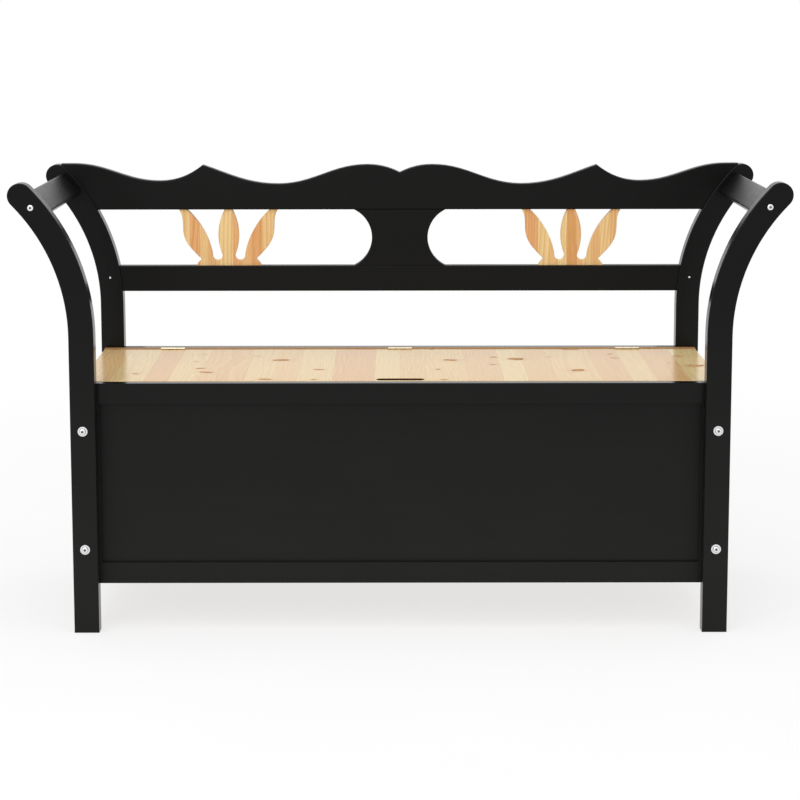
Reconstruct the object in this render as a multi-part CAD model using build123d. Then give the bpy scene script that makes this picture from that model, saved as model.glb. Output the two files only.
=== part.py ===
from build123d import *
import os
from math import cos, radians, sin, sqrt

# A black painted storage bench with a hinged fir lid and a fretwork back.
# Millimetres. X runs along the bench, Y from front to back, Z up from the floor.
# Left and right are those of someone who faces the bench.

# Legs
bench_depth = 420.0
leg_spacing = 1035.0
leg_width = 41.0
leg_thickness = 28.0
leg_straight_height = 493.0
leg_sweep_radius = 330.0
leg_sweep_degrees = 44.2
leg_ease = 2.0

# Armrests
arm_width = 46.0
arm_thickness = 20.0
arm_ease = 3.0
arm_screw_from_tip = 25.5
arm_dowel_offset = 13.0

# Chest
chest_bottom = 77.0
seat_height = 413.0
chest_inset = 7.0
frame_thickness = 18.0
stile_width = 37.5
top_rail_height = 34.0
bottom_rail_height = 35.0
panel_thickness = 6.0
groove_depth = 8.0
groove_gap = 0.2
panel_margin = 0.6
cleat_size = 18.0
floor_thickness = 6.0
floor_gap = 0.5

# Lid and the fixed strip that carries its hinges
lid_thickness = 18.0
lid_front_gap = 2.0
lid_edge_radius = 3.0
lid_lower_ease = 1.0
slot_length = 78.0
slot_width = 17.0
slot_inset = 16.0
slot_edge_radius = 2.0
strip_width = 18.0
batten_width = 40.0
batten_thickness = 15.0
batten_end_gap = 12.0
front_batten_inset = 40.0
rear_batten_inset = 12.0
batten_ease = 2.0

# Hinges
hinge_from_leg = 110.5
hinge_length = 42.0
hinge_gap = 2.6
hinge_rise = 1.0
leaf_thickness = 1.0
leaf_height = 13.0
barrel_radius = 2.5
pin_radius = 1.25
pin_clearance = 0.05
pin_head_radius = 1.9
pin_head_height = 0.8
knuckle_gap = 0.3
leaf_screw_spread = 13.0

# Back
back_thickness = 20.0
back_setback = 4.0
back_opening = 101.0
lower_rail_height = 46.0
crest_end_height = 82.5
crest_above_tip = 1.0
crest_end_flat = 22.0
crest_end_inset = 6.5
back_ease = 2.0
notch_rise = 66.5
hump_x = 58.0
hump_rise = 80.5
inner_trough_from_leg = 299.5
inner_trough_rise = 46.0
cusp_from_leg = 165.5
cusp_rise = 80.0
outer_trough_from_leg = 87.5
outer_trough_rise = 51.5
splat_half_width = 82.0
splat_waist_half = 50.0
tenon_thickness = 10.0
tenon_height = 30.0
tenon_length = 26.0

# Tulip fretwork
tulip_from_leg = 210.5
tulip_half_width = 89.0
tulip_thickness = 12.0
tulip_ease = 1.2
tulip_pin_radius = 2.5
tulip_pin_length = 20.0
tulip_base_pin_spread = 30.0

# Fasteners
bolt_radius = 3.0
bolt_past_nut = 2.0
bolt_head_radius = 5.0
bolt_head_height = 3.0
bolt_head_round = 1.8
bolt_socket_across = 4.0
bolt_socket_depth = 2.2
washer_radius = 8.0
washer_thickness = 1.2
washer_ease = 0.3
washer_gap = 0.2
upper_bolt_below_seat = 74.5
lower_bolt_above_base = 64.0
nut_radius = 5.0
nut_length = 14.0
arm_screw_radius = 2.5
arm_screw_embed = 45.0
arm_head_radius = 5.0
arm_head_height = 2.4
arm_head_round = 1.4
arm_socket_across = 4.0
arm_socket_depth = 2.0
dowel_radius = 4.0
dowel_length = 32.0
dowel_from_rail_end = 17.0
crest_dowel_first = 20.0
crest_dowel_step = 22.0
splat_dowel_spread = 30.0
brad_radius = 0.9
brad_head_radius = 1.75
brad_head_height = 0.6
brad_depth_in_tenon = 6.0
brad_above_middle = 2.0
wood_screw_radius = 1.5
wood_screw_head_radius = 3.0
leaf_screw_length = 15.0
batten_screw_length = 25.0
strip_screw_length = 30.0
cross_width = 0.8
cross_depth = 0.9
fit_gap = 0.1

# Places worked out from the sizes above
leg_x = leg_spacing / 2
front_face = -bench_depth / 2
front_leg_back = front_face + leg_thickness
chest_front_back = front_leg_back + frame_thickness
rear_face = bench_depth / 2
rear_leg_front = rear_face - leg_thickness
chest_half = leg_x + leg_width / 2 - chest_inset
side_inner = leg_x - frame_thickness / 2
lid_bottom = seat_height - lid_thickness
lid_front = chest_front_back + lid_front_gap
strip_front = rear_leg_front - strip_width
lid_back = strip_front - hinge_gap
hinge_y = strip_front - hinge_gap / 2
hinge_z = seat_height + hinge_rise
hinge_spacing = leg_x - hinge_from_leg
hinge_places = {"left": -hinge_spacing, "centre": 0.0, "right": hinge_spacing}
bolt_heights = (chest_bottom + lower_bolt_above_base, seat_height - upper_bolt_below_seat)
floor_bottom = chest_bottom + cleat_size
nut_from_end = (stile_width - groove_depth) / 2
bolt_embed = nut_from_end + nut_radius + bolt_past_nut

sweep_x = leg_x + leg_sweep_radius
tip_x = sweep_x - leg_sweep_radius * cos(radians(leg_sweep_degrees))
tip_z = leg_straight_height + leg_sweep_radius * sin(radians(leg_sweep_degrees))
arm_degrees = leg_sweep_degrees - arm_screw_from_tip / radians(1) / leg_sweep_radius
arm_x = sweep_x - leg_sweep_radius * cos(radians(arm_degrees))
arm_z = leg_straight_height + leg_sweep_radius * sin(radians(arm_degrees))

crest_top = tip_z + leg_width / 2 + crest_above_tip
crest_bottom = crest_top - crest_end_height
crest_end_x = tip_x - crest_end_inset
lower_rail_top = crest_bottom - back_opening
lower_rail_bottom = lower_rail_top - lower_rail_height
lower_rail_middle = lower_rail_top - lower_rail_height / 2
back_front = rear_leg_front + back_setback
back_middle = back_front + back_thickness / 2
inner_trough_x = leg_x - inner_trough_from_leg
cusp_x = leg_x - cusp_from_leg
outer_trough_x = leg_x - outer_trough_from_leg
tulip_x = leg_x - tulip_from_leg


def block(x, y, z):
    """A box between the two limits given for each axis."""
    size = [high - low for low, high in (x, y, z)]
    middle = [(high + low) / 2 for low, high in (x, y, z)]
    return Pos(*middle) * Box(*size)


def rod(start, direction, radius, length):
    """A round bar that starts at a point and runs in a direction."""
    place = Plane(origin=start, z_dir=direction)
    return place * Cylinder(radius, length, align=(Align.CENTER, Align.CENTER, Align.MIN))


def board(outline, front, thickness):
    """A board cut to an outline drawn as seen from the front."""
    face = Plane.XZ * make_face(outline)
    return Pos(0, front, 0) * extrude(face, amount=thickness, dir=(0, 1, 0))


def eased(piece, radius, axis=Axis.Y):
    """The piece with the edges of its two faces across an axis rounded over."""
    return fillet(piece.faces().filter_by(axis).edges(), radius)


def mirrored(piece):
    return mirror(piece, about=Plane.YZ)


def pair(piece):
    """The right-hand piece and its mirror image on the left, as separate solids."""
    return Compound(children=[*piece.solids(), *mirrored(piece).solids()])


def group(pieces):
    return Compound(children=[solid for piece in pieces for solid in piece.solids()])


# Legs

def leg_edge(offset, degrees):
    """A point of the sweep, offset outwards from the leg's centre line."""
    radius = leg_sweep_radius - offset
    return (
        sweep_x - radius * cos(radians(degrees)),
        leg_straight_height + radius * sin(radians(degrees)),
    )


def leg_outline(margin=0.0):
    """The right-hand leg from the front, wider by a margin when it is used as a cutter."""
    half = leg_width / 2 + margin
    full, middle = leg_sweep_degrees, leg_sweep_degrees / 2
    crown = (tip_x + half * sin(radians(full)), tip_z + half * cos(radians(full)))
    inner_foot, outer_foot = (leg_x - half, 0), (leg_x + half, 0)
    return [
        Line(inner_foot, leg_edge(-half, 0)),
        ThreePointArc(leg_edge(-half, 0), leg_edge(-half, middle), leg_edge(-half, full)),
        ThreePointArc(leg_edge(-half, full), crown, leg_edge(half, full)),
        ThreePointArc(leg_edge(half, full), leg_edge(half, middle), leg_edge(half, 0)),
        Line(leg_edge(half, 0), outer_foot),
        Line(outer_foot, inner_foot),
    ]


def inner_edge_x(height):
    """Where the inner edge of the right-hand leg stands at a height."""
    radius = leg_sweep_radius + leg_width / 2
    rise = max(height - leg_straight_height, 0)
    return sweep_x - sqrt(radius**2 - rise**2)


def leg_blank(front):
    leg = eased(board(leg_outline(), front, leg_thickness), leg_ease)
    for height in bolt_heights:
        leg -= rod((leg_x, front, height), (0, 1, 0), bolt_radius + fit_gap, leg_thickness)
    leg -= rod((arm_x, front, arm_z), (0, 1, 0), arm_screw_radius + fit_gap, leg_thickness)
    return leg - arm_dowels(fit_gap)


def front_leg():
    return leg_blank(front_face)


def rear_leg():
    leg = leg_blank(rear_leg_front)
    leg -= rail_tenon(fit_gap)
    leg -= rail_brad(fit_gap)
    leg -= crest_dowels(fit_gap)
    return leg - rear_frame_dowels(fit_gap)


# Armrests

def armrest():
    length = rear_leg_front - front_leg_back
    bar = fillet(Box(arm_thickness, length, arm_width).edges().filter_by(Axis.Y), arm_ease)
    bar = Pos(arm_x, (front_leg_back + rear_leg_front) / 2, arm_z) * Rot(0, arm_degrees, 0) * bar
    bar -= arm_screw_bore(front_face, 1)
    bar -= arm_screw_bore(rear_face, -1)
    return bar - arm_dowels(fit_gap)


def arm_dowels(margin=0.0):
    """One dowel at each end, below the screw, that keeps the armrest from turning."""
    x = arm_x - arm_dowel_offset * sin(radians(arm_degrees))
    z = arm_z - arm_dowel_offset * cos(radians(arm_degrees))
    start = -dowel_length / 2 - margin
    length = dowel_length + 2 * margin
    ends = (front_leg_back, rear_leg_front)
    return group(rod((x, end + start, z), (0, 1, 0), dowel_radius + margin, length) for end in ends)


def socket_head(radius, height, rounding, across, depth):
    """A low round head with a hexagon socket, seated on the plane below it."""
    head = Cylinder(radius, height, align=(Align.CENTER, Align.CENTER, Align.MIN))
    head = fillet(head.edges().sort_by(Axis.Z)[-1], rounding)
    socket = extrude(RegularPolygon(across / sqrt(3), 6), amount=depth)
    return head - Pos(0, 0, height - depth) * socket


def arm_screw_bore(face, way):
    return rod((arm_x, face, arm_z), (0, way, 0), arm_screw_radius + fit_gap, leg_thickness + arm_screw_embed)


def arm_screw(face, way):
    """A screw through a leg into the end of the right-hand armrest."""
    seat = (arm_x, face, arm_z)
    shank = rod(seat, (0, way, 0), arm_screw_radius, leg_thickness + arm_screw_embed)
    head = socket_head(arm_head_radius, arm_head_height, arm_head_round, arm_socket_across, arm_socket_depth)
    return shank + Plane(origin=seat, z_dir=(0, -way, 0)) * head


# Back

def crest_outline():
    """The wavy crest from the front: the right half from notch to end, then its mirror image."""
    notch = (0, crest_bottom + notch_rise)
    hump = (hump_x, crest_bottom + hump_rise)
    inner_trough = (inner_trough_x, crest_bottom + inner_trough_rise)
    cusp = (cusp_x, crest_bottom + cusp_rise)
    outer_trough = (outer_trough_x, crest_bottom + outer_trough_rise)
    shoulder = (crest_end_x - crest_end_flat, crest_top)
    end = (crest_end_x, crest_top)
    level, steep, rising, falling = (1, 0), (1, 0.5), (1, 0.33), (1, -0.78)
    half = [
        Spline(notch, hump, tangents=[steep, level]),
        Spline(hump, inner_trough, tangents=[level, level]),
        Spline(inner_trough, cusp, tangents=[level, rising]),
        Spline(cusp, outer_trough, tangents=[falling, level]),
        Spline(outer_trough, shoulder, tangents=[level, level]),
        Line(shoulder, end),
        Line(end, (crest_end_x, crest_bottom)),
        Line((crest_end_x, crest_bottom), (0, crest_bottom)),
    ]
    return half + [edge.mirror(Plane.YZ) for edge in half]


def leg_cutter():
    """All that lies outside the inner edges of the rear legs, a fit gap wider than the legs."""
    half = leg_width / 2 + fit_gap
    full = leg_sweep_degrees
    between = radians(90 + full) / 2
    top = (tip_x, tip_z + half)
    far_x = tip_x + leg_width
    outline = [
        Line((leg_x - half, 0), leg_edge(-half, 0)),
        ThreePointArc(leg_edge(-half, 0), leg_edge(-half, full / 2), leg_edge(-half, full)),
        ThreePointArc(
            leg_edge(-half, full), (tip_x - half * cos(between), tip_z + half * sin(between)), top
        ),
        Line(top, (far_x, tip_z + half)),
        Line((far_x, tip_z + half), (far_x, 0)),
        Line((far_x, 0), (leg_x - half, 0)),
    ]
    return pair(board(outline, rear_leg_front, leg_thickness))


def crest_rail():
    crest = eased(board(crest_outline(), back_front, back_thickness), back_ease)
    crest -= leg_cutter()
    crest -= pair(crest_dowels(fit_gap))
    crest -= splat_dowels(fit_gap)
    return crest - tulip_pins(fit_gap)


def crest_dowels(margin=0.0):
    """Two dowels between the right-hand rear leg and the end of the crest."""
    dowels = []
    for step in range(2):
        z = crest_bottom + crest_dowel_first + step * crest_dowel_step
        start = inner_edge_x(z) - dowel_length / 2 - margin
        dowels.append(
            rod((start, back_middle, z), (1, 0, 0), dowel_radius + margin, dowel_length + 2 * margin)
        )
    return group(dowels)


def lower_rail():
    reach = (-leg_x, leg_x)
    back = (back_front, back_front + back_thickness)
    rail = eased(block(reach, back, (lower_rail_bottom, lower_rail_top)), back_ease)
    rail -= leg_cutter()
    rail += pair(rail_tenon())
    rail -= pair(rail_brad(fit_gap))
    rail -= splat_dowels(fit_gap)
    return rail - tulip_pins(fit_gap)


def rail_tenon(margin=0.0):
    """The tenon at the right-hand end of the lower rail, or its mortise."""
    shoulder = inner_edge_x(lower_rail_bottom) - tenon_length / 2
    tip = inner_edge_x(lower_rail_middle) + tenon_length + margin
    half_thick = tenon_thickness / 2 + margin
    half_high = tenon_height / 2 + margin
    return block(
        (shoulder, tip),
        (back_middle - half_thick, back_middle + half_thick),
        (lower_rail_middle - half_high, lower_rail_middle + half_high),
    )


def rail_brad(margin=0.0):
    """The brad that pins the tenon through the front of the right-hand rear leg."""
    x = inner_edge_x(lower_rail_middle) + tenon_length - brad_depth_in_tenon
    length = back_middle + tenon_thickness / 2 - rear_leg_front
    face = (x, rear_leg_front, lower_rail_middle + brad_above_middle)
    shank = rod(face, (0, 1, 0), brad_radius + margin, length + margin)
    return shank + rod(face, (0, 1, 0), brad_head_radius + margin, brad_head_height + margin)


def splat():
    waist = (splat_waist_half, (lower_rail_top + crest_bottom) / 2)
    low, high = (splat_half_width, lower_rail_top), (splat_half_width, crest_bottom)
    side = ThreePointArc(low, waist, high)
    outline = [
        side,
        side.mirror(Plane.YZ),
        Line(low, (-splat_half_width, lower_rail_top)),
        Line(high, (-splat_half_width, crest_bottom)),
    ]
    piece = board(outline, back_front, back_thickness)
    sides = piece.faces().filter_by(Axis.Y).edges().filter_by(GeomType.CIRCLE)
    return fillet(sides, back_ease) - splat_dowels(fit_gap)


def splat_dowels(margin=0.0):
    """Upright dowels that hold the splat between the crest and the lower rail."""
    dowels = []
    for joint in (lower_rail_top, crest_bottom):
        start = (splat_dowel_spread, back_middle, joint - dowel_length / 2 - margin)
        dowels.append(rod(start, (0, 0, 1), dowel_radius + margin, dowel_length + 2 * margin))
    return pair(group(dowels))


def tulip_outline():
    """Three leaves on a foot, in hundredths of half its width and of the opening between the rails."""

    def at(side, height):
        return (side * tulip_half_width / 100, lower_rail_top + height * back_opening / 100)

    right = [
        Line(at(0, 100), at(7.9, 100)),
        Spline(at(7.9, 100), at(20.7, 58), at(12.8, 19)),
        ThreePointArc(at(12.8, 19), at(21.9, 9.5), at(32.6, 20)),
        Spline(at(32.6, 20), at(42.7, 50), at(83.1, 100)),
        Line(at(83.1, 100), at(100, 100)),
        Spline(at(100, 100), at(93.4, 87), at(92.0, 68), at(88.8, 50), at(70, 25), at(55.1, 11.8)),
        Line(at(55.1, 11.8), at(62.6, 4.8)),
        Line(at(62.6, 4.8), at(65.7, 0)),
        Line(at(65.7, 0), at(0, 0)),
    ]
    return right + [edge.mirror(Plane.YZ) for edge in right]


def tulip():
    """The right-hand ornament, standing between the lower rail and the crest."""
    piece = board(tulip_outline(), back_middle - tulip_thickness / 2, tulip_thickness)
    curved = piece.faces().filter_by(Axis.Y).edges().filter_by(GeomType.LINE, reverse=True)
    piece = fillet(curved, tulip_ease)
    return Pos(tulip_x, 0, 0) * piece - tulip_pins(fit_gap)


def tulip_pins(margin=0.0):
    """Two pins in the foot of each ornament and one in the tip of its middle leaf."""
    joints = [
        (tulip_x - tulip_base_pin_spread, lower_rail_top),
        (tulip_x + tulip_base_pin_spread, lower_rail_top),
        (tulip_x, crest_bottom),
    ]
    pins = []
    for x, joint in joints:
        start = (x, back_middle, joint - tulip_pin_length / 2 - margin)
        pins.append(rod(start, (0, 0, 1), tulip_pin_radius + margin, tulip_pin_length + 2 * margin))
    return pair(group(pins))


# Chest

def frame_pieces(length, height):
    """A framed panel, lying from its left end along X, with its outer face at Y 0."""
    inner = length / 2 - stile_width
    middle = frame_thickness / 2
    groove = (middle - panel_thickness / 2 - groove_gap, middle + panel_thickness / 2 + groove_gap)
    tongue = (middle - panel_thickness / 2, middle + panel_thickness / 2)
    deep = (0, frame_thickness)
    reach = inner + groove_depth
    tongue_reach = reach - panel_margin
    top, bottom = height - top_rail_height, bottom_rail_height

    stile = block((inner, length / 2), deep, (0, height))
    stile -= block((inner, reach), groove, (0, height))

    def rail(low, high, groove_low, groove_high):
        bar = block((-inner, inner), deep, (low, high))
        bar += block((-tongue_reach, tongue_reach), tongue, (low, high))
        return bar - block((-reach, reach), groove, (groove_low, groove_high))

    panel = block(
        (-tongue_reach, tongue_reach),
        tongue,
        (bottom - groove_depth + panel_margin, top + groove_depth - panel_margin),
    )
    return {
        "top_rail": rail(top, height, top, top + groove_depth),
        "bottom_rail": rail(0, bottom, bottom - groove_depth, bottom),
        "left_stile": mirrored(stile),
        "right_stile": stile,
        "panel": panel,
    }


def front_frame():
    pieces = frame_pieces(2 * chest_half, seat_height - chest_bottom)
    placed = {name: Pos(0, front_leg_back, chest_bottom) * piece for name, piece in pieces.items()}
    for side, way in (("left_stile", -1), ("right_stile", 1)):
        for height in bolt_heights:
            start = (way * leg_x, front_leg_back, height)
            placed[side] -= rod(start, (0, 1, 0), bolt_radius + fit_gap, frame_thickness)
    return placed


def rear_frame():
    """The framed panel between the rear legs, which shows its outer face to the back."""
    length = 2 * (leg_x - leg_width / 2 - fit_gap)
    pieces = frame_pieces(length, seat_height - chest_bottom)
    placed = {name: Pos(0, rear_leg_front, chest_bottom) * piece for name, piece in pieces.items()}
    placed["right_stile"] -= rear_frame_dowels(fit_gap)
    placed["left_stile"] -= mirrored(rear_frame_dowels(fit_gap))
    placed["top_rail"] -= strip_screws(fit_gap)
    return placed


def rear_frame_dowels(margin=0.0):
    """Dowels between the right-hand rear leg and the stile beside it."""
    start = leg_x - leg_width / 2 - dowel_length / 2 - margin
    heights = (chest_bottom + dowel_from_rail_end, seat_height - dowel_from_rail_end)
    y = rear_leg_front + frame_thickness / 2
    length = dowel_length + 2 * margin
    return group(rod((start, y, z), (1, 0, 0), dowel_radius + margin, length) for z in heights)


def side_frame():
    """The right-hand framed panel, from the front frame to the rear leg, under the lid."""
    length = rear_leg_front - chest_front_back
    pieces = frame_pieces(length, lid_bottom - chest_bottom)
    middle = (chest_front_back + rear_leg_front) / 2
    place = Pos(leg_x + frame_thickness / 2, middle, chest_bottom) * Rot(0, 0, 90)
    names = {"left_stile": "front_stile", "right_stile": "rear_stile"}
    placed = {names.get(name, name): place * piece for name, piece in pieces.items()}
    for name, face, way, depth in (
        ("front_stile", front_face, 1, leg_thickness + frame_thickness),
        ("rear_stile", rear_face, -1, leg_thickness),
    ):
        for height in bolt_heights:
            placed[name] -= leg_bolt_bore(face, way, height, depth)
            placed[name] -= nut_bore(face + way * (depth + nut_from_end), height)
    return placed


def leg_bolt_bore(face, way, height, depth):
    return rod((leg_x, face, height), (0, way, 0), bolt_radius + fit_gap, depth + bolt_embed + fit_gap)


def leg_bolt(face, way, height, depth):
    """A bolt through its washer and a leg into the end of the right-hand side frame."""
    seat = (leg_x, face - way * washer_thickness, height)
    shank = rod(seat, (0, way, 0), bolt_radius, washer_thickness + depth + bolt_embed)
    head = socket_head(
        bolt_head_radius, bolt_head_height, bolt_head_round, bolt_socket_across, bolt_socket_depth
    )
    return shank + Plane(origin=seat, z_dir=(0, -way, 0)) * head


def bolt_washer(face, way, height):
    """The wide washer between the head of a bolt and the leg."""
    outside = (leg_x, face - way * washer_thickness, height)
    disc = rod(outside, (0, way, 0), washer_radius, washer_thickness)
    disc = fillet(disc.edges().filter_by(GeomType.CIRCLE), washer_ease)
    return disc - rod(outside, (0, way, 0), bolt_radius + washer_gap, washer_thickness)


def nut_bore(y, height):
    """The blind hole, drilled from inside the chest, that takes a cross nut."""
    length = leg_x + nut_length / 2 + fit_gap - side_inner
    return rod((side_inner, y, height), (1, 0, 0), nut_radius + fit_gap, length)


def cross_nut(y, height):
    nut = rod((leg_x - nut_length / 2, y, height), (1, 0, 0), nut_radius, nut_length)
    nut -= rod((leg_x, y - nut_radius, height), (0, 1, 0), bolt_radius + fit_gap, 2 * nut_radius)
    slot_end = leg_x - nut_length / 2 + cross_depth
    return nut - block(
        (leg_x - nut_length / 2, slot_end),
        (y - nut_radius, y + nut_radius),
        (height - cross_width / 2, height + cross_width / 2),
    )


def floor_panel():
    x = side_inner - floor_gap
    y = (chest_front_back + floor_gap, rear_leg_front - floor_gap)
    return block((-x, x), y, (floor_bottom, floor_bottom + floor_thickness))


def floor_cleat(face, way):
    x = side_inner - floor_gap
    y = sorted((face, face + way * cleat_size))
    return block((-x, x), y, (chest_bottom, floor_bottom))


# Lid

def seat_lid():
    lid = block((-chest_half, chest_half), (lid_front, lid_back), (lid_bottom, seat_height))
    lid = fillet(lid.faces().sort_by(Axis.Z)[-1].edges(), lid_edge_radius)
    lid = chamfer(lid.faces().sort_by(Axis.Z)[0].edges(), lid_lower_ease)
    slot = extrude(SlotOverall(slot_length, slot_width), amount=lid_thickness)
    lid -= Pos(0, lid_front + slot_inset, lid_bottom) * slot
    rim = lid.faces().sort_by(Axis.Z)[-1].inner_wires()[0].edges()
    lid = fillet(rim, slot_edge_radius)
    lid -= leaf_screws(-1, fit_gap)
    return lid - batten_screws(fit_gap)


def batten(front):
    x = side_inner - batten_end_gap
    bar = block((-x, x), (front, front + batten_width), (lid_bottom - batten_thickness, lid_bottom))
    bar = fillet(bar.faces().sort_by(Axis.Z)[0].edges(), batten_ease)
    return bar - batten_screws(fit_gap)


def batten_fronts():
    front = lid_front + front_batten_inset
    rear = lid_back - rear_batten_inset - batten_width
    return {"front": front, "rear": rear}


def batten_screws(margin=0.0):
    """Screws through the battens, up into the lid."""
    screws = []
    for front in batten_fronts().values():
        for x in hinge_places.values():
            head = (x, front + batten_width / 2, lid_bottom - batten_thickness)
            screws.append(wood_screw(head, (0, 0, 1), batten_screw_length, margin))
    return group(screws)


def hinge_strip():
    strip = block((-chest_half, chest_half), (strip_front, rear_leg_front), (lid_bottom, seat_height))
    top_front = strip.faces().sort_by(Axis.Z)[-1].edges().filter_by(Axis.X).sort_by(Axis.Y)[0]
    strip = fillet(top_front, lid_edge_radius)
    strip -= leaf_screws(1, fit_gap)
    return strip - strip_screws(fit_gap)


def strip_screws(margin=0.0):
    """Screws from the back, through the rear rail into the hinge strip."""
    back = rear_leg_front + frame_thickness
    z = seat_height - lid_thickness / 2
    places = [hinge_spacing * third / 3 for third in (-2, -1, 1, 2)]
    return group(wood_screw((x, back, z), (0, -1, 0), strip_screw_length, margin) for x in places)


def wood_screw(head, direction, length, margin=0.0):
    """A countersunk screw with its head flush at a point, or the hole that it leaves."""
    sink = wood_screw_head_radius - wood_screw_radius
    low, cut = wood_screw_radius + margin, wood_screw_head_radius + margin
    place = Plane(origin=head, z_dir=direction)
    to_low = (Align.CENTER, Align.CENTER, Align.MIN)
    screw = Cone(cut, low, sink, align=to_low)
    if margin:
        return place * (screw + Pos(0, 0, sink) * Cylinder(low, length - sink + margin, align=to_low))
    screw += Pos(0, 0, sink) * Cylinder(low, length - 2 * sink, align=to_low)
    screw += Pos(0, 0, length - sink) * Cone(low, low / 4, sink, align=to_low)
    long_arm = (wood_screw_head_radius, cross_width, 2 * cross_depth)
    screw -= Box(*long_arm) + Rot(0, 0, 90) * Box(*long_arm)
    return place * screw


# Hinges

def knuckle_spans(x):
    """The three lengths of the barrel: the outer two stay on the strip, the middle one turns."""
    step = hinge_length / 3
    edges = [x - hinge_length / 2 + count * step for count in range(4)]
    return [(low + knuckle_gap / 2, high - knuckle_gap / 2) for low, high in zip(edges, edges[1:])]


def hinge_leaf(x, way):
    """A leaf on the strip (way 1) or on the lid (way -1), with its knuckles."""
    wood = hinge_y + way * hinge_gap / 2
    plate_y = sorted((wood, wood - way * leaf_thickness))
    plate_top = hinge_z - barrel_radius - knuckle_gap
    half = (hinge_length - knuckle_gap) / 2
    leaf = block((x - half, x + half), plate_y, (plate_top - leaf_height, plate_top))
    spans = knuckle_spans(x)
    own = [spans[0], spans[2]] if way == 1 else [spans[1]]
    for low, high in own:
        leaf += block((low, high), plate_y, (plate_top, hinge_z))
        leaf += rod((low, hinge_y, hinge_z), (1, 0, 0), barrel_radius, high - low)
    leaf -= hinge_bore(x)
    return leaf - leaf_screws(way, fit_gap)


def hinge_bore(x):
    start = (x - hinge_length / 2, hinge_y, hinge_z)
    return rod(start, (1, 0, 0), pin_radius + pin_clearance, hinge_length)


def hinge_pin(x):
    """A pin with a peened head at each end."""
    half = (hinge_length - knuckle_gap) / 2
    pin = rod((x - half, hinge_y, hinge_z), (1, 0, 0), pin_radius, 2 * half)
    for way in (-1, 1):
        end = (x + way * half, hinge_y, hinge_z)
        pin += rod(end, (way, 0, 0), pin_head_radius, pin_head_height)
    return pin


def leaf_screws(way, margin=0.0):
    """Two screws through each leaf, into the strip (way 1) or into the lid (way -1)."""
    face = hinge_y + way * (hinge_gap / 2 - leaf_thickness)
    z = hinge_z - barrel_radius - knuckle_gap - leaf_height / 2
    screws = []
    for x in hinge_places.values():
        for side in (-leaf_screw_spread, leaf_screw_spread):
            screws.append(wood_screw((x + side, face, z), (0, way, 0), leaf_screw_length, margin))
    return group(screws)


# Assembly

def named_pieces():
    """Every piece of the bench by the name of its node."""
    pieces = {}
    for name, right in (
        ("front_leg", front_leg()),
        ("rear_leg", rear_leg()),
        ("armrest", armrest()),
        ("tulip", tulip()),
    ):
        pieces[name + "_right"] = right
        pieces[name + "_left"] = mirrored(right)

    pieces["crest_rail"] = crest_rail()
    pieces["back_splat"] = splat()
    pieces["back_lower_rail"] = lower_rail()

    for name, piece in front_frame().items():
        pieces["front_" + name] = piece
    for name, piece in rear_frame().items():
        pieces["rear_" + name] = piece
    for name, piece in side_frame().items():
        pieces["right_side_" + name] = piece
        pieces["left_side_" + name] = mirrored(piece)

    pieces["floor_panel"] = floor_panel()
    pieces["front_floor_cleat"] = floor_cleat(chest_front_back, 1)
    pieces["rear_floor_cleat"] = floor_cleat(rear_leg_front, -1)

    pieces["seat_lid"] = seat_lid()
    pieces["hinge_strip"] = hinge_strip()
    for name, front in batten_fronts().items():
        pieces["lid_" + name + "_batten"] = batten(front)
    for name, x in hinge_places.items():
        pieces["hinge_lid_leaf_" + name] = hinge_leaf(x, -1)
        pieces["hinge_strip_leaf_" + name] = hinge_leaf(x, 1)
    pieces["hinge_pins"] = group(hinge_pin(x) for x in hinge_places.values())
    pieces["hinge_lid_screws"] = leaf_screws(-1)
    pieces["hinge_strip_screws"] = leaf_screws(1)
    pieces["lid_batten_screws"] = batten_screws()
    pieces["rear_strip_screws"] = strip_screws()

    front_depth = leg_thickness + frame_thickness
    front_nut_y = front_face + front_depth + nut_from_end
    rear_nut_y = rear_leg_front - nut_from_end
    pieces["front_leg_bolts"] = pair(group(leg_bolt(front_face, 1, z, front_depth) for z in bolt_heights))
    pieces["rear_leg_bolts"] = pair(group(leg_bolt(rear_face, -1, z, leg_thickness) for z in bolt_heights))
    sides = ((front_face, 1), (rear_face, -1))
    pieces["bolt_washers"] = pair(group(bolt_washer(*side, z) for side in sides for z in bolt_heights))
    pieces["bolt_cross_nuts"] = pair(
        group(cross_nut(y, z) for y in (front_nut_y, rear_nut_y) for z in bolt_heights)
    )
    pieces["arm_screws"] = pair(group((arm_screw(front_face, 1), arm_screw(rear_face, -1))))
    pieces["arm_dowels"] = pair(arm_dowels())
    pieces["crest_dowels"] = pair(crest_dowels())
    pieces["splat_dowels"] = splat_dowels()
    pieces["tulip_pins"] = tulip_pins()
    pieces["rear_frame_dowels"] = pair(rear_frame_dowels())
    pieces["lower_rail_brads"] = pair(rail_brad())
    return pieces


os.makedirs("parts", exist_ok=True)
for node, shape in named_pieces().items():
    export_step(shape, f"parts/{node}.step")
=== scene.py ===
from functools import cache
from math import radians

import bpy
from mathutils import Euler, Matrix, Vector


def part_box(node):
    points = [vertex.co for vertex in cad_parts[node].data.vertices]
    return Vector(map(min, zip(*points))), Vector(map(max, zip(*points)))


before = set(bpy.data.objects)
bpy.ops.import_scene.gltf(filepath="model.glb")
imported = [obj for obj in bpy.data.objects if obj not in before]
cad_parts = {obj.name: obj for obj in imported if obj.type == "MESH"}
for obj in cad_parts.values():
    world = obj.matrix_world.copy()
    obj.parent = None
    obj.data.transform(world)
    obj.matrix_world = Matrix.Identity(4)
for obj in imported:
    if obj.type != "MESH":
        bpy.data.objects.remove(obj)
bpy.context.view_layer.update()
scene = bpy.context.scene
scene.view_settings.view_transform = "Standard"

# Axes, as places in a coordinate
X, Y, Z = 0, 1, 2

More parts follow.
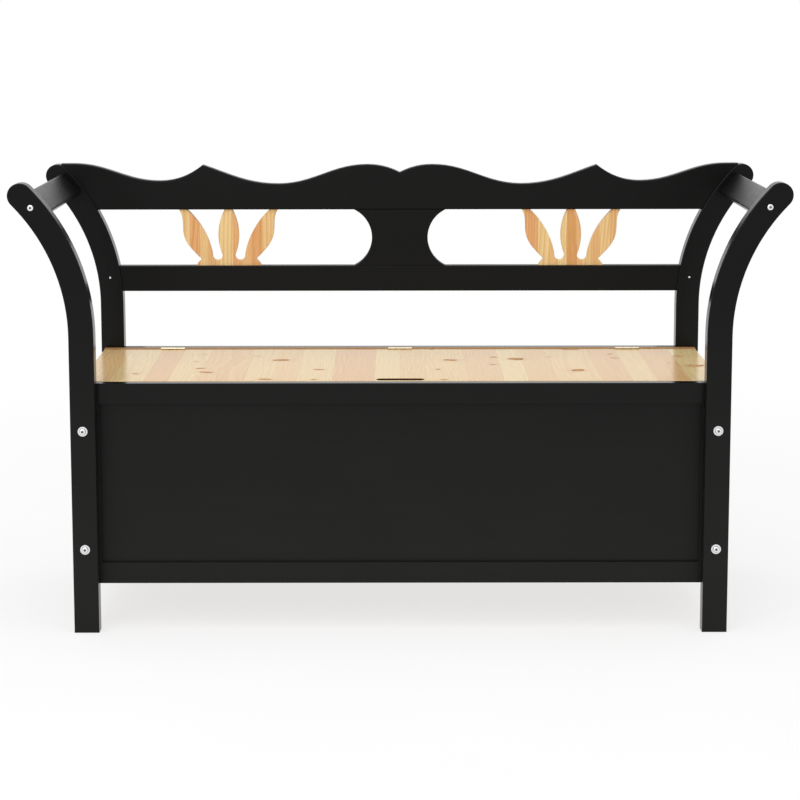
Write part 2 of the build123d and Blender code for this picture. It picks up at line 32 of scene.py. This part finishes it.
# Faces of the wood that show, in metres
lid_low, lid_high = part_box("seat_lid")
seat_height = lid_high[Z]
tulip_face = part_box("tulip_left")[0][Y]

# Staves and growth rings, in metres
lid_stave_width = 0.054
lid_ring_width = 0.0030
bare_stave_width = 0.2
bare_ring_width = 0.0030
tulip_stave_width = 0.019
tulip_ring_width = 0.0032

# How far the heart of the log lies from a stave, and how its rings wander, in metres
heart_aside = 0.055
heart_shallow = 0.025
heart_deep = 0.070
heart_drift = 0.030
ring_ripple = 0.0012

# Knots, in metres, with how many times wider than long they are and how far they push rings, in their size
knot_spacing = 0.068
knot_widening = 1.5
largest_knot = 0.0095
knot_wobble = 0.007
knot_swelling = 1.6

# Walls and rounded rim of the hand slot in the lid, where its shade is painted, in metres
slot_half_length = 0.0410
slot_half_width = 0.0105
slot_inset = 0.016
slot_rim_drop = 0.0003
slot_y = lid_low[Y] + slot_inset
slot_rim = seat_height - slot_rim_drop

# Black paint, and the heights in metres between which it goes from paler low down to darker higher up
low_black = (0.0106, 0.0107, 0.0097)
high_black = (0.0024, 0.0024, 0.0022)
palest_height = 0.12
darkest_height = 0.60

# The roughness and the specular level of each coat of paint
coats = {"polished": (0.30, 0.30), "rail": (0.13, 0.14), "leg": (0.20, 0.14), "satin": (0.34, 0.14)}

# Light, where a surface that faces it fully renders about as its colour is written
ambient_strength = 0.66
overhead_power = 46.0
front_power = 42.0

# Floor, in metres, with the distances between which its shadow fades out and the share of white over it
floor_radius = 14.0
shadow_full = 0.9
shadow_gone = 2.4
white_over_shadow = 0.72

# Camera, with its lens in millimetres, its place in metres and its angles in degrees
lens_length = 96.98
sensor_width = 36.0
lens_shift_x = 0.0042
lens_shift_y = -0.13
camera_place = (-0.0089, -3.655, 1.040)
camera_tilt = 7.918
camera_lean = 0.058
camera_turn = -0.055

# The colour that changes nothing where it is laid on another
white = (1.0, 1.0, 1.0)


# Building blocks of the materials

def add(tree, kind, inputs=None, **settings):
    """A new node. Its inputs are numbers, colours or the sockets that feed them."""
    node = tree.nodes.new("ShaderNode" + kind)
    for name, value in settings.items():
        setattr(node, name, value)
    for key, value in (inputs or {}).items():
        if isinstance(value, bpy.types.NodeSocket):
            tree.links.new(value, node.inputs[key])
        else:
            node.inputs[key].default_value = value
    return node


def maths(tree, operation, *values):
    """One step of arithmetic on numbers or sockets."""
    return add(tree, "Math", dict(enumerate(values)), operation=operation).outputs[0]


def noise(tree, vector, scale, detail=2.0, roughness=0.5, distortion=0.0):
    """A soft random value from 0 to 1, around 0.5."""
    settings = {"Scale": scale, "Detail": detail, "Roughness": roughness, "Distortion": distortion}
    return add(tree, "TexNoise", {"Vector": vector, **settings}).outputs[0]


def between(tree, value, low, high, to_low, to_high, smooth=False):
    """A value mapped from one range to another and held at its ends."""
    numbers = {"Value": value, "From Min": low, "From Max": high, "To Min": to_low, "To Max": to_high}
    shape = "SMOOTHSTEP" if smooth else "LINEAR"
    return add(tree, "MapRange", numbers, interpolation_type=shape).outputs[0]


def spread(tree, value, low, high):
    """A value from 0 to 1, spread out between two others."""
    return between(tree, value, 0.0, 1.0, low, high)


def ramp(tree, factor, stops):
    """A colour from stops of position and colour."""
    node = add(tree, "ValToRGB", {"Fac": factor})
    bands = node.color_ramp.elements
    while len(bands) < len(stops):
        bands.new(1.0)
    for band, (position, colour) in zip(bands, stops):
        band.position = position
        band.color = (*colour, 1.0)
    return node.outputs[0]


def mixed(tree, factor, first, second, how="MIX"):
    """Two colours mixed, or one laid on the other."""
    node = add(tree, "Mix", data_type="RGBA", blend_type=how)
    # The node keeps its colours in inputs 6 and 7 and gives the mixture in output 2
    for socket, value in ((0, factor), (6, first), (7, second)):
        if isinstance(value, bpy.types.NodeSocket):
            tree.links.new(value, node.inputs[socket])
        else:
            node.inputs[socket].default_value = value if socket == 0 else (*value, 1.0)
    return node.outputs[2]


def laid_on(tree, colour, shade):
    """A colour darkened by a shade."""
    return mixed(tree, 1.0, colour, shade, "MULTIPLY")


def bench_point(tree):
    """The point on the bench, as a vector and as its three numbers."""
    point = add(tree, "TexCoord").outputs["Object"]
    return point, add(tree, "SeparateXYZ", {0: point}).outputs


def stretched(tree, point, grain, times):
    """The point with the grain's own axis drawn out, so that what is round becomes long."""
    scale = [1.0, 1.0, 1.0]
    scale[grain] = 1.0 / times
    return add(tree, "Mapping", {"Vector": point, "Scale": scale}).outputs[0]


def new_material(name, specular=0.5):
    """A new material, with its nodes and its shader."""
    material = bpy.data.materials.new(name)
    material.use_nodes = True
    shader = material.node_tree.nodes["Principled BSDF"]
    shader.inputs["Specular IOR Level"].default_value = specular
    return material, material.node_tree, shader


def finished(tree, shader, colour, roughness, relief, relief_depth):
    """Joins the colour, the roughness and the relief of a surface to its shader."""
    tree.links.new(colour, shader.inputs["Base Color"])
    tree.links.new(roughness, shader.inputs["Roughness"])
    bump = add(tree, "Bump", {"Height": relief, "Strength": 0.5, "Distance": relief_depth})
    tree.links.new(bump.outputs[0], shader.inputs["Normal"])


# Paint

def black_paint(name, grain, gloss, specular):
    """Black paint with the wood's grain as a faint relief, a little paler low down."""
    material, tree, shader = new_material(name, specular)
    point, xyz = bench_point(tree)
    pores = noise(tree, stretched(tree, point, grain, times=26.0), scale=420.0, detail=3.0, roughness=0.6)
    figure = noise(tree, stretched(tree, point, grain, times=9.0), scale=60.0, distortion=0.6)
    clouds = noise(tree, point, scale=7.0, detail=3.0)
    lowness = between(tree, xyz[Z], palest_height, darkest_height, 1.0, 0.0)
    tone = mixed(tree, lowness, high_black, low_black)
    mottle = maths(tree, "ADD", maths(tree, "MULTIPLY", clouds, 0.6), maths(tree, "MULTIPLY", figure, 0.4))
    tone = laid_on(tree, tone, ramp(tree, mottle, [(0.3, (0.82, 0.82, 0.82)), (0.7, white)]))
    rough = between(tree, clouds, 0.3, 0.7, gloss - 0.03, gloss + 0.03)
    rough = maths(tree, "ADD", rough, between(tree, pores, 0.3, 0.7, -0.03, 0.04))
    finished(tree, shader, tone, rough, maths(tree, "ADD", pores, figure), relief_depth=0.00010)
    return material


@cache
def paint(coat, grain):
    """The paint of one coat on wood whose grain follows one axis, made once."""
    gloss, specular = coats[coat]
    return black_paint(f"black_paint_{coat}_{'xyz'[grain]}", grain, gloss, specular)


def coat_of(name):
    """The coat of paint on a piece: armrests, legs, front and rear top rail shine more than the rest."""
    if "armrest" in name:
        return "polished"
    if name in ("front_top_rail", "rear_top_rail"):
        return "rail"
    return "leg" if "_leg_" in name else "satin"


def grain_of(name):
    """The axis that the grain of a painted piece follows: its length."""
    if any(word in name for word in ("leg", "stile", "splat")):
        return Z
    if any(word in name for word in ("armrest", "side_")):
        return Y
    return X


# Fir

def staves(tree, across, width):
    """The number of the stave at a point, and the point's place across it, from -0.5 to 0.5."""
    sway = maths(tree, "SINE", maths(tree, "MULTIPLY", across, 1.7 / width))
    steps = maths(tree, "MULTIPLY_ADD", sway, 0.22, maths(tree, "DIVIDE", across, width))
    return maths(tree, "FLOOR", steps), maths(tree, "SUBTRACT", maths(tree, "FRACT", steps), 0.5)


def stave_draws(tree, number):
    """Three random values of a stave's own, from 0 to 1."""
    colour = add(tree, "TexWhiteNoise", {"W": number}, noise_dimensions="1D").outputs["Color"]
    return add(tree, "SeparateXYZ", {0: colour}).outputs


def stave_tint(tree, number, draw, tints):
    """A tint for each stave, drawn by turns from the first and from the second half of the tints."""
    turn = maths(tree, "FLOORED_MODULO", number, 2.0)
    pick = maths(tree, "MULTIPLY_ADD", draw, 0.5, maths(tree, "MULTIPLY", turn, 0.5))
    return ramp(tree, pick, tints)


def heart_distance(tree, point, grain, along, number, side, depth):
    """The distance from the heart of the log, which wanders along each stave in its own way."""
    own = add(tree, "CombineXYZ", {0: maths(tree, "MULTIPLY", number, 7.3), 1: along}).outputs[0]
    drift = spread(tree, noise(tree, own, scale=2.6, detail=1.0), -heart_drift, heart_drift)
    ripple = noise(tree, stretched(tree, point, grain, times=14.0), scale=160.0)
    offsets = (maths(tree, "ADD", side, drift), depth)
    squares = [maths(tree, "MULTIPLY", offset, offset) for offset in offsets]
    radius = maths(tree, "SQRT", maths(tree, "ADD", *squares))
    return maths(tree, "ADD", radius, spread(tree, ripple, -ring_ripple, ring_ripple))


def knots(tree, point, across, along):
    """How far a point lies from the nearest knot, in the knot's radii, and how far that pushes the rings."""
    wobble = add(tree, "TexNoise", {"Vector": point, "Scale": 42.0, "Detail": 1.0}).outputs["Color"]
    shift = add(tree, "SeparateXYZ", {0: wobble}).outputs
    narrowed = maths(tree, "DIVIDE", across, knot_widening)
    flat = [maths(tree, "ADD", value, spread(tree, drift, -knot_wobble, knot_wobble))
            for value, drift in ((narrowed, shift[X]), (along, shift[Y]))]
    spot = add(tree, "CombineXYZ", dict(enumerate(flat))).outputs[0]
    cells = add(tree, "TexVoronoi", {"Vector": spot, "Scale": 1.0 / knot_spacing}, voronoi_dimensions="2D")
    distance = maths(tree, "MULTIPLY", cells.outputs["Distance"], knot_spacing)
    chance = add(tree, "SeparateXYZ", {0: cells.outputs["Color"]}).outputs
    size = between(tree, chance[0], 0.40, 1.0, 0.0, largest_knot)
    inside = maths(tree, "DIVIDE", distance, maths(tree, "MAXIMUM", size, 0.0001))
    nearness = between(tree, inside, 0.6, 4.0, 1.0, 0.0, smooth=True)
    push = maths(tree, "MULTIPLY", maths(tree, "MULTIPLY", nearness, size), knot_swelling)
    return inside, push


def knotted(tree, wood, rough, inside):
    """The wood and its roughness with the knots laid in: reddish brown and dull, with a darker rim."""
    flush = between(tree, inside, 0.9, 2.6, 0.35, 0.0, smooth=True)
    wood = mixed(tree, flush, wood, (0.62, 0.30, 0.12))
    heart = [(0.0, (0.46, 0.22, 0.085)), (0.6, (0.55, 0.29, 0.120)), (0.95, (0.24, 0.09, 0.030))]
    solid = between(tree, inside, 0.85, 1.15, 0.95, 0.0, smooth=True)
    wood = mixed(tree, solid, wood, ramp(tree, inside, heart))
    return wood, maths(tree, "MULTIPLY_ADD", solid, 0.45, rough)


def slot_shade_mask(tree, xyz):
    """1 on the walls and the rounded rim of the hand slot, where dark shade is painted."""
    along = maths(tree, "COMPARE", xyz[X], 0.0, slot_half_length)
    across = maths(tree, "COMPARE", xyz[Y], slot_y, slot_half_width)
    below = maths(tree, "LESS_THAN", xyz[Z], slot_rim)
    return maths(tree, "MULTIPLY", maths(tree, "MULTIPLY", along, across), below)


def fir(name, axes, face, stave_width, ring_width, tints, ring_shade, gloss, specular,
        seam=0.0, knotty=False, slot=False):
    """Softwood staves glued edge to edge, each with its own tint and its own growth rings."""
    material, tree, shader = new_material(name, specular)
    point, xyz = bench_point(tree)
    grain = axes[0]
    along, across, through = (xyz[axis] for axis in axes)
    number, in_stave = staves(tree, across, stave_width)
    draw = stave_draws(tree, number)

    side = maths(tree, "SUBTRACT", maths(tree, "MULTIPLY", in_stave, stave_width),
                 spread(tree, draw[0], -heart_aside, heart_aside))
    depth = maths(tree, "ADD", maths(tree, "SUBTRACT", through, face),
                  spread(tree, draw[1], heart_shallow, heart_deep))
    radius = heart_distance(tree, point, grain, along, number, side, depth)
    if knotty:
        inside_knot, push = knots(tree, point, across, along)
        radius = maths(tree, "ADD", radius, push)
    ring = maths(tree, "FRACT", maths(tree, "DIVIDE", radius, ring_width))

    streaks = noise(tree, stretched(tree, point, grain, times=30.0), scale=330.0, detail=3.0, roughness=0.6)
    early = (0.98, 0.97, 0.95)
    late = [(0.0, white), (0.45, early), (0.86, ring_shade), (0.97, ring_shade), (1.0, white)]
    wood = laid_on(tree, stave_tint(tree, number, draw[2], tints), ramp(tree, ring, late))
    wood = laid_on(tree, wood, ramp(tree, streaks, [(0.3, (0.92, 0.90, 0.87)), (0.6, white)]))
    rough = between(tree, streaks, 0.2, 0.8, gloss, gloss + 0.07)
    if seam:
        edge = between(tree, maths(tree, "ABSOLUTE", in_stave), 0.490, 0.497, 0.0, seam)
        wood = mixed(tree, edge, wood, (0.36, 0.20, 0.09))
    if knotty:
        wood, rough = knotted(tree, wood, rough, inside_knot)
    # Painted shade: the walls and rim of the hand slot turn dark brown, as the deep slot lies in shade
    if slot:
        wood = mixed(tree, slot_shade_mask(tree, xyz), wood, (0.05, 0.018, 0.004))
    finished(tree, shader, wood, rough, maths(tree, "ADD", ring, streaks), relief_depth=0.00004)
    return material


def lacquered_fir():
    """The pale, glossy wood of the lid."""
    cream, pink, honey = (0.81, 0.64, 0.34), (0.74, 0.47, 0.24), (0.78, 0.56, 0.28)
    tints = [(0.0, pink), (0.3, honey), (0.49, pink), (0.51, cream), (0.8, honey), (1.0, cream)]
    return fir("lacquered_fir", (Y, X, Z), seat_height, lid_stave_width, lid_ring_width,
               tints, ring_shade=(0.94, 0.89, 0.81), gloss=0.17, specular=0.16,
               seam=0.22, knotty=True, slot=True)


def bare_fir(name, tints, ring_shade, specular):
    """Fir without lacquer, in one length from side to side."""
    return fir(name, (X, Y, Z), seat_height, bare_stave_width, bare_ring_width,
               tints, ring_shade, gloss=0.55, specular=specular, knotty=True)


def plain_fir():
    """The wood of the battens and the cleats."""
    tints = [(0.0, (0.60, 0.40, 0.19)), (0.5, (0.66, 0.45, 0.22)), (1.0, (0.71, 0.50, 0.25))]
    return bare_fir("plain_fir", tints, ring_shade=(0.84, 0.74, 0.60), specular=0.15)


def strip_fir():
    """The browner wood of the strip behind the lid."""
    tints = [(0.0, (0.36, 0.195, 0.075)), (0.5, (0.41, 0.23, 0.095)), (1.0, (0.46, 0.27, 0.12))]
    return bare_fir("strip_fir", tints, ring_shade=(0.76, 0.64, 0.50), specular=0.08)


def fretwork_fir():
    """The warm, clear wood of the tulips."""
    orange, honey, straw = (0.80, 0.42, 0.18), (0.82, 0.52, 0.24), (0.90, 0.69, 0.35)
    tints = [(0.0, orange), (0.3, honey), (0.49, orange), (0.51, straw), (0.75, honey), (1.0, straw)]
    return fir("fretwork_fir", (Z, X, Y), tulip_face, tulip_stave_width, tulip_ring_width,
               tints, ring_shade=(0.86, 0.74, 0.58), gloss=0.38, specular=0.30, seam=0.12)


# Other materials

def plywood():
    """Thin rotary-cut plywood with a broad, wavy figure."""
    material, tree, shader = new_material("plywood", specular=0.3)
    point, _ = bench_point(tree)
    figure = noise(tree, stretched(tree, point, X, times=6.0), scale=16.0, detail=3.0, distortion=1.2)
    rings = maths(tree, "FRACT", maths(tree, "MULTIPLY", figure, 9.0))
    streaks = noise(tree, stretched(tree, point, X, times=24.0), scale=260.0, detail=3.0, roughness=0.6)
    pale, tan, brown = (0.62, 0.44, 0.26), (0.57, 0.39, 0.22), (0.47, 0.30, 0.16)
    wood = ramp(tree, rings, [(0.0, pale), (0.6, tan), (0.9, brown), (1.0, pale)])
    wood = laid_on(tree, wood, ramp(tree, streaks, [(0.3, (0.86, 0.83, 0.79)), (0.65, white)]))
    rough = between(tree, streaks, 0.3, 0.7, 0.50, 0.62)
    finished(tree, shader, wood, rough, streaks, relief_depth=0.00008)
    return material


def beech():
    """Pale close-grained beech with short flecks."""
    material, tree, shader = new_material("beech_dowel", specular=0.3)
    point, _ = bench_point(tree)
    flecks = noise(tree, stretched(tree, point, Z, times=8.0), scale=700.0, detail=3.0, roughness=0.6)
    wood = ramp(tree, flecks, [(0.35, (0.52, 0.33, 0.19)), (0.6, (0.66, 0.46, 0.29))])
    rough = between(tree, flecks, 0.3, 0.7, 0.45, 0.6)
    finished(tree, shader, wood, rough, flecks, relief_depth=0.0001)
    return material


def plated_steel(name, dull, bright, corner_shade):
    """Plated steel with a fine crystal mottle, with shade painted darker into its sockets and corners."""
    material, tree, shader = new_material(name)
    point, _ = bench_point(tree)
    mottle = noise(tree, point, scale=900.0, detail=3.0, roughness=0.6)
    marks = noise(tree, point, scale=160.0)
    steel = ramp(tree, mottle, [(0.3, dull), (0.7, bright)])
    # Painted shade: ambient occlusion darkens the sockets, the hinge knuckles and the corners
    openness = add(tree, "AmbientOcclusion", {"Distance": 0.004}, samples=8).outputs["AO"]
    steel = laid_on(tree, steel, ramp(tree, openness, [(0.35, corner_shade), (0.90, white)]))
    rough = between(tree, marks, 0.3, 0.7, 0.22, 0.34)
    rough = maths(tree, "ADD", rough, between(tree, mottle, 0.3, 0.7, -0.04, 0.05))
    shader.inputs["Metallic"].default_value = 1.0
    finished(tree, shader, steel, rough, mottle, relief_depth=0.00003)
    return material


def bright_zinc():
    """The plating of bolts, washers, nuts, brads and all other screws."""
    return plated_steel("zinc_steel", (0.76, 0.77, 0.78), (0.90, 0.90, 0.89), corner_shade=(0.04, 0.04, 0.04))


def yellow_zinc():
    """The plating of the hinges and their screws."""
    return plated_steel("yellow_zinc", (0.62, 0.50, 0.33), (0.76, 0.64, 0.45), corner_shade=(0.45, 0.42, 0.36))


# Finishes on the pieces

finishes = {
    "lacquered_fir": lacquered_fir(),
    "fretwork_fir": fretwork_fir(),
    "plain_fir": plain_fir(),
    "plywood": plywood(),
    "beech_dowel": beech(),
    "zinc_steel": bright_zinc(),
}
strip_wood = strip_fir()
hinge_plating = yellow_zinc()


def finish_of(name, wanted):
    """The finish of a piece, from its name and from the material that the frame gives it."""
    if wanted == "black_paint":
        return paint(coat_of(name), grain_of(name))
    if name == "hinge_strip":
        return strip_wood
    if name.startswith("hinge_"):
        return hinge_plating
    return finishes[wanted]


for name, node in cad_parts.items():
    for slot in node.material_slots:
        slot.material = finish_of(name, slot.material.name)


# Studio: a pale floor, a white surround and two large soft lamps

def seen_directly(tree):
    """1 for what the camera sees straight or in a mirror, 0 for light on its way to a surface."""
    path = add(tree, "LightPath").outputs
    either = maths(tree, "MAXIMUM", path["Is Camera Ray"], path["Is Glossy Ray"])
    return maths(tree, "MAXIMUM", either, path["Is Transmission Ray"])


def surround():
    """White all around, dimmer as a light than it looks."""
    world = bpy.data.worlds.new("studio")
    world.use_nodes = True
    scene.world = world
    tree = world.node_tree
    background = tree.nodes["Background"]
    background.inputs["Color"].default_value = (*white, 1.0)
    strength = spread(tree, seen_directly(tree), ambient_strength, 1.0)
    tree.links.new(strength, background.inputs["Strength"])


def floor():
    """A pale floor that keeps a shadow under the bench and turns white further out."""
    bpy.ops.mesh.primitive_circle_add(vertices=96, radius=floor_radius, fill_type="NGON")
    ground = bpy.context.active_object
    ground.name = "studio_floor"
    material, tree, shader = new_material("studio_floor", specular=0.0)
    point, _ = bench_point(tree)
    away = add(tree, "VectorMath", {0: point}, operation="LENGTH").outputs["Value"]
    clouds = noise(tree, point, scale=3.0)
    pale = ramp(tree, clouds, [(0.3, (0.90, 0.90, 0.90)), (0.7, (0.93, 0.93, 0.93))])
    tree.links.new(pale, shader.inputs["Base Color"])
    shader.inputs["Roughness"].default_value = 0.9
    glow = add(tree, "Emission", {"Color": (*white, 1.0), "Strength": 1.0})
    fade = between(tree, away, shadow_full, shadow_gone, white_over_shadow, 1.0, smooth=True)
    blend = add(tree, "MixShader", {0: maths(tree, "MULTIPLY", fade, seen_directly(tree))})
    tree.links.new(shader.outputs[0], blend.inputs[1])
    tree.links.new(glow.outputs[0], blend.inputs[2])
    tree.links.new(blend.outputs[0], tree.nodes["Material Output"].inputs["Surface"])
    ground.data.materials.append(material)


def softbox(name, power, size, spot, target):
    """A large square lamp that faces a target."""
    lamp = bpy.data.lights.new(name, "AREA")
    lamp.energy = power
    lamp.size = size
    holder = bpy.data.objects.new(name, lamp)
    holder.location = spot
    holder.rotation_euler = (Vector(target) - Vector(spot)).to_track_quat("-Z", "Y").to_euler()
    scene.collection.objects.link(holder)


def camera():
    """The camera, a little above the bench and tilted down to it."""
    lens = bpy.data.cameras.new("camera")
    lens.lens = lens_length
    lens.sensor_width = sensor_width
    lens.shift_x = lens_shift_x
    lens.shift_y = lens_shift_y
    holder = bpy.data.objects.new("camera", lens)
    holder.location = camera_place
    angles = (90.0 - camera_tilt, camera_lean, camera_turn)
    holder.rotation_euler = Euler([radians(angle) for angle in angles])
    scene.collection.objects.link(holder)
    scene.camera = holder


surround()
floor()
softbox("overhead", overhead_power, size=3.6, spot=(0.0, -0.4, 3.2), target=(0.0, 0.0, 0.3))
softbox("front", front_power, size=2.4, spot=(-1.6, -3.4, 2.4), target=(0.0, 0.0, 0.4))
camera()
